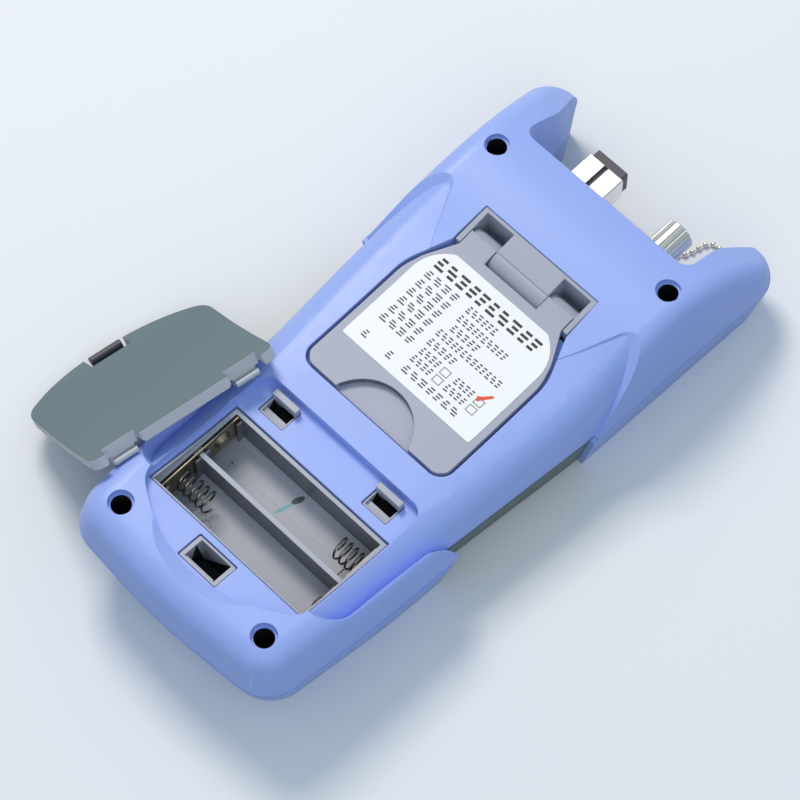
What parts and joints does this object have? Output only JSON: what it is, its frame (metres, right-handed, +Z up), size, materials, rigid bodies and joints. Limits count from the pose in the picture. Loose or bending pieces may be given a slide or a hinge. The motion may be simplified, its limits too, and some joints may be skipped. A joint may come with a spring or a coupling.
{
  "type": "optical power meter",
  "caption": "Handheld optical power meter with a red-light source, two capped ports, folding stand, push buttons and an open bay for two AA cells beside its taken-off door.",
  "frame": {"origin": "on the ground plane under the meter, in its plane of symmetry, level with the two case screws of the battery end", "axes": "+X across the meter to its right as seen from its back, +Y towards the optical ports, +Z up from the ground through the back"},
  "size_m": [0.1253, 0.1977, 0.04],
  "materials": {
    "blue_plastic": "semi-matt moulded plastic with a fine grain",
    "bay_grey": "dark grey moulded plastic",
    "nickel": "nickel plate",
    "steel": "plain steel",
    "stand_grey": "light grey moulded plastic",
    "label": "printed white film",
    "door_grey": "grey-green moulded plastic",
    "shell_grey": "dark grey moulded plastic",
    "window": "clear window",
    "lcd_grey": "liquid crystal display",
    "key_rubber": "silicone rubber",
    "board_green": "glass-fibre board",
    "chrome": "bright plated metal",
    "cap_black": "black moulded plastic",
    "black_plastic": "black moulded plastic",
    "brass": "turned brass"
  },
  "bodies": {
    "case": {"rear_cover": "blue_plastic", "battery_holder": "bay_grey", "bridge_contact": "nickel", "bridge_spring": "nickel", "positive_contact": "nickel", "negative_contact": "nickel", "negative_spring": "nickel", "stand_bracket": "stand_grey", "hinge_pin": "steel", "battery_door": "door_grey", "front_shell": "shell_grey", "front_bumper_upper": "blue_plastic", "front_bumper_lower": "blue_plastic", "lcd_window": "window", "lcd_module": "lcd_grey", "keypad_mat": "key_rubber", "main_board": "board_green", "case_screws": "steel", "sc_adapter": "chrome", "fc_port": "nickel", "chain_anchor": "nickel", "cap_chain": "nickel", "detector_module": "black_plastic", "laser_module": "brass"},
    "stand": {"kickstand": "stand_grey", "stand_label": "label"},
    "port_cap_ring": {"cap_ring": "nickel"},
    "port_cap": {"fc_cap": "nickel"},
    "square_cap": {"sc_dust_cap": "cap_black"},
    "button_1": {"key_1": "key_rubber"},
    "button_2": {"key_2": "key_rubber"},
    "button_3": {"key_3": "key_rubber"},
    "button_4": {"key_4": "key_rubber"},
    "button_5": {"key_5": "key_rubber"},
    "button_6": {"key_6": "key_rubber"}
  },
  "joints": [
    {"name": "stand_hinge", "type": "hinge", "parent": "case", "child": "stand", "pos_m": [0, 0.125, 0.0293], "axis": [-1, 0, 0], "range_deg": [0, 65]},
    {"name": "port_cap_slide", "type": "slide", "parent": "case", "child": "port_cap_ring", "axis": [0, 1, 0], "range_m": [0, 0.0105]},
    {"name": "port_cap_turn", "type": "hinge", "parent": "port_cap_ring", "child": "port_cap", "pos_m": [0.0165, 0.1596, 0.0174], "axis": [0, 1, 0], "range_deg": [0, 5100]},
    {"name": "square_cap_slide", "type": "slide", "parent": "case", "child": "square_cap", "axis": [0, 1, 0], "range_m": [0, 0.012]},
    {"name": "button_1_press", "type": "slide", "parent": "case", "child": "button_1", "axis": [0, 0, 1], "range_m": [0, 0.0008], "stiffness_N_per_m": 1500, "springref_m": -0.0008},
    {"name": "button_2_press", "type": "slide", "parent": "case", "child": "button_2", "axis": [0, 0, 1], "range_m": [0, 0.0008], "stiffness_N_per_m": 1500, "springref_m": -0.0008},
    {"name": "button_3_press", "type": "slide", "parent": "case", "child": "button_3", "axis": [0, 0, 1], "range_m": [0, 0.0008], "stiffness_N_per_m": 1500, "springref_m": -0.0008},
    {"name": "button_4_press", "type": "slide", "parent": "case", "child": "button_4", "axis": [0, 0, 1], "range_m": [0, 0.0008], "stiffness_N_per_m": 1500, "springref_m": -0.0008},
    {"name": "button_5_press", "type": "slide", "parent": "case", "child": "button_5", "axis": [0, 0, 1], "range_m": [0, 0.0008], "stiffness_N_per_m": 1500, "springref_m": -0.0008},
    {"name": "button_6_press", "type": "slide", "parent": "case", "child": "button_6", "axis": [0, 0, 1], "range_m": [0, 0.0008], "stiffness_N_per_m": 1500, "springref_m": -0.0008}
  ],
  "couplings": [
    {"joint": "port_cap_turn", "follows": "port_cap_slide", "rad_per_m": 8377.6}
  ]
}
